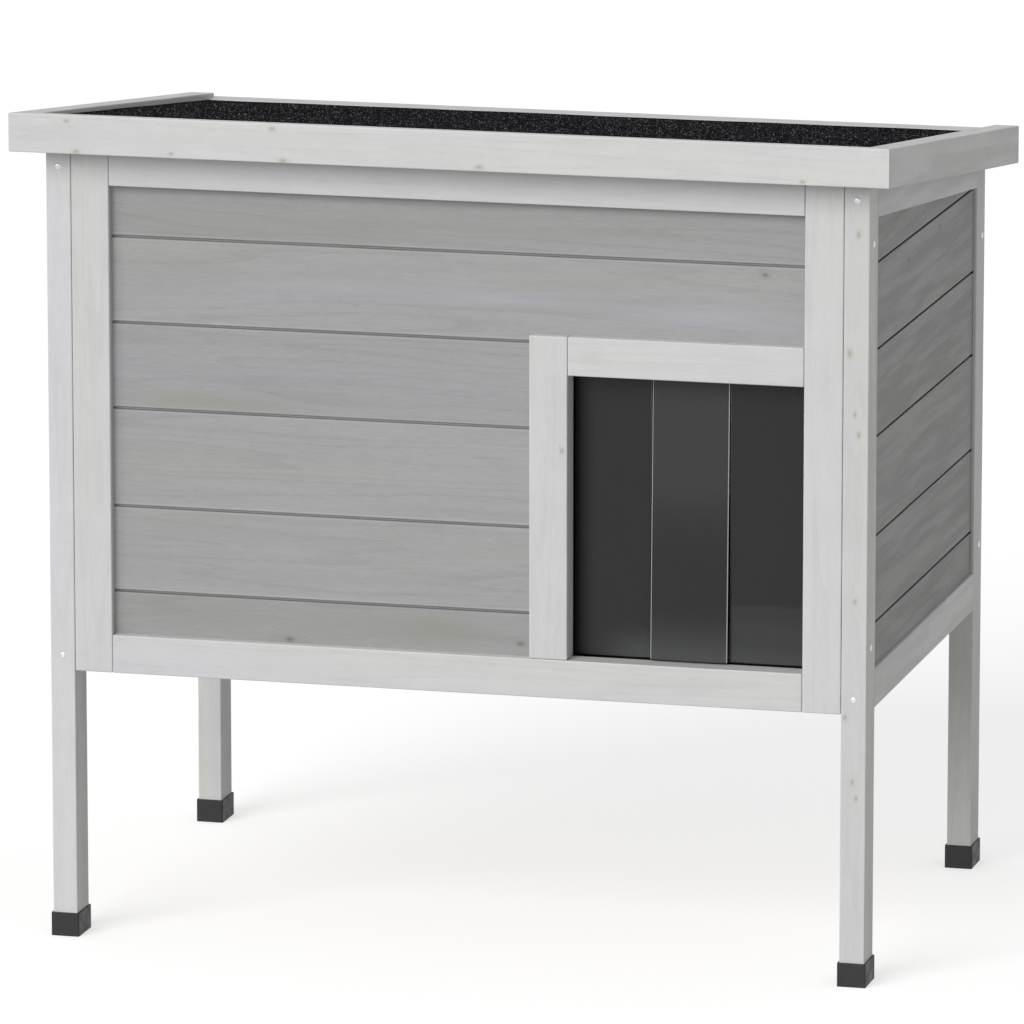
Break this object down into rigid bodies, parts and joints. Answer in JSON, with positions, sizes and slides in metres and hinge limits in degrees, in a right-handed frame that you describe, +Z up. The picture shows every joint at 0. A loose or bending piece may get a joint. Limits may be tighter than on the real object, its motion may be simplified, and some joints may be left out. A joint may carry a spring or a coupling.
{
  "type": "outdoor cat shelter",
  "caption": "Raised timber shelter for a cat: boarded cabin on legs, strip-curtain doorway, floor panel and a hinged, felted roof lid that falls to the rear.",
  "frame": {"origin": "on the ground, under the middle of the roof's outline", "axes": "+Z up, -Y out of the doorway, +X to the right for someone who faces the doorway"},
  "size_m": [0.77, 0.5404, 0.7298],
  "materials": {
    "white_timber": "softwood with a greyish white wash, grain showing, matt",
    "grey_boards": "tongue and groove softwood boards, mid grey stain, matt",
    "panel_wood": "bare plywood",
    "roofing_felt": "bitumen roofing felt with sparkling black mineral grit",
    "strip_plastic": "flexible smoked dark plastic strip",
    "foot_plastic": "black moulded plastic, slightly rough",
    "zinc_steel": "zinc plated"
  },
  "bodies": {
    "house": {"clamp_screws": "zinc_steel", "door_header": "white_timber", "door_post": "white_timber", "floor_ledgers": "white_timber", "floor_panel": "panel_wood", "foot_cap_front_left": "foot_plastic", "foot_cap_front_right": "foot_plastic", "foot_cap_rear_left": "foot_plastic", "foot_cap_rear_right": "foot_plastic", "front_board_1": "grey_boards", "front_board_2": "grey_boards", "front_board_3": "grey_boards", "front_board_4": "grey_boards", "front_board_5": "grey_boards", "front_board_6": "grey_boards", "front_bottom_rail": "white_timber", "front_stile_left": "white_timber", "front_stile_right": "white_timber", "front_top_rail": "white_timber", "hinge_pin_left": "zinc_steel", "hinge_pin_right": "zinc_steel", "hinge_wall_leaf_left": "zinc_steel", "hinge_wall_leaf_right": "zinc_steel", "hinge_wall_screws": "zinc_steel", "ledger_screws": "zinc_steel", "leg_front_left": "white_timber", "leg_front_right": "white_timber", "leg_rear_left": "white_timber", "leg_rear_right": "white_timber", "leg_screws": "zinc_steel", "rear_boards": "grey_boards", "rear_bottom_rail": "white_timber", "rear_stile_left": "white_timber", "rear_stile_right": "white_timber", "rear_top_rail": "white_timber", "side_boards_left": "grey_boards", "side_boards_right": "grey_boards", "side_bottom_rail_left": "white_timber", "side_bottom_rail_right": "white_timber", "side_top_rail_left": "white_timber", "side_top_rail_right": "white_timber", "stile_screws": "zinc_steel", "strip_clamp": "white_timber", "strip_tab_1": "strip_plastic", "strip_tab_2": "strip_plastic", "strip_tab_3": "strip_plastic"},
    "lid": {"batten_screws": "zinc_steel", "deck_battens": "white_timber", "hinge_lid_leaf_left": "zinc_steel", "hinge_lid_leaf_right": "zinc_steel", "hinge_lid_screws": "zinc_steel", "roof_deck": "panel_wood", "roof_edge_front": "white_timber", "roof_edge_left": "white_timber", "roof_edge_rear": "white_timber", "roof_edge_right": "white_timber", "roof_felt": "roofing_felt"},
    "strip_1": {"door_strip_1": "strip_plastic"},
    "strip_2": {"door_strip_2": "strip_plastic"},
    "strip_3": {"door_strip_3": "strip_plastic"}
  },
  "joints": [
    {"name": "lid_hinge", "type": "hinge", "parent": "house", "child": "lid", "pos_m": [0, 0.23825, 0.63279], "axis": [-1, 0, 0], "range_deg": [0, 95]},
    {"name": "strip_1_bend", "type": "hinge", "parent": "house", "child": "strip_1", "pos_m": [0.1349, -0.21565, 0.5165], "axis": [1, 0, 0], "range_deg": [-75, 80]},
    {"name": "strip_2_bend", "type": "hinge", "parent": "house", "child": "strip_2", "pos_m": [0.2031, -0.21565, 0.5165], "axis": [1, 0, 0], "range_deg": [-73.5, 81.5]},
    {"name": "strip_3_bend", "type": "hinge", "parent": "house", "child": "strip_3", "pos_m": [0.2713, -0.21565, 0.5165], "axis": [1, 0, 0], "range_deg": [-75, 80]}
  ]
}
